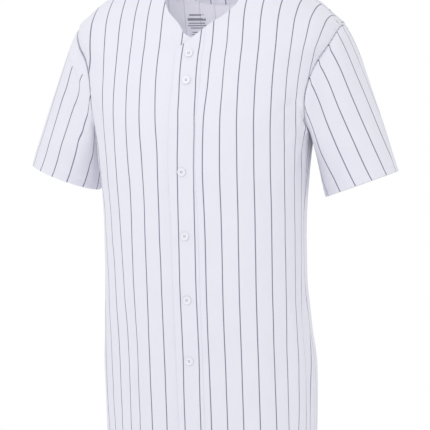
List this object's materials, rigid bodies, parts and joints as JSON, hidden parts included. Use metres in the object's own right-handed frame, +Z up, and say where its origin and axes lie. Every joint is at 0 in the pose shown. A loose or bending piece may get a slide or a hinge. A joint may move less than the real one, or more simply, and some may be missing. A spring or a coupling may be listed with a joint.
{
  "type": "baseball jersey",
  "caption": "Short-sleeved pinstripe baseball jersey with a full button front, filled out as if worn, hollow and open at neck, cuffs and hem.",
  "frame": {"origin": "midway between the two shoulder points of the neck, at their height, where the garment hangs from the wearer", "axes": "+Z up, -Y the way the wearer faces, +X the wearer's left"},
  "size_m": [0.6686, 0.2875, 0.8329],
  "materials": {
    "cloth": "white knit with thin navy pinstripes, matt",
    "button": "pearly white, soft gloss"
  },
  "bodies": {
    "root": {"front_left": "cloth", "front_right": "cloth", "placket": "cloth", "back": "cloth", "back_neck_facing": "cloth", "sleeve_left": "cloth", "sleeve_right": "cloth", "button_1": "button", "button_2": "button", "button_3": "button", "button_4": "button", "button_5": "button", "button_6": "button"}
  },
  "joints": []
}
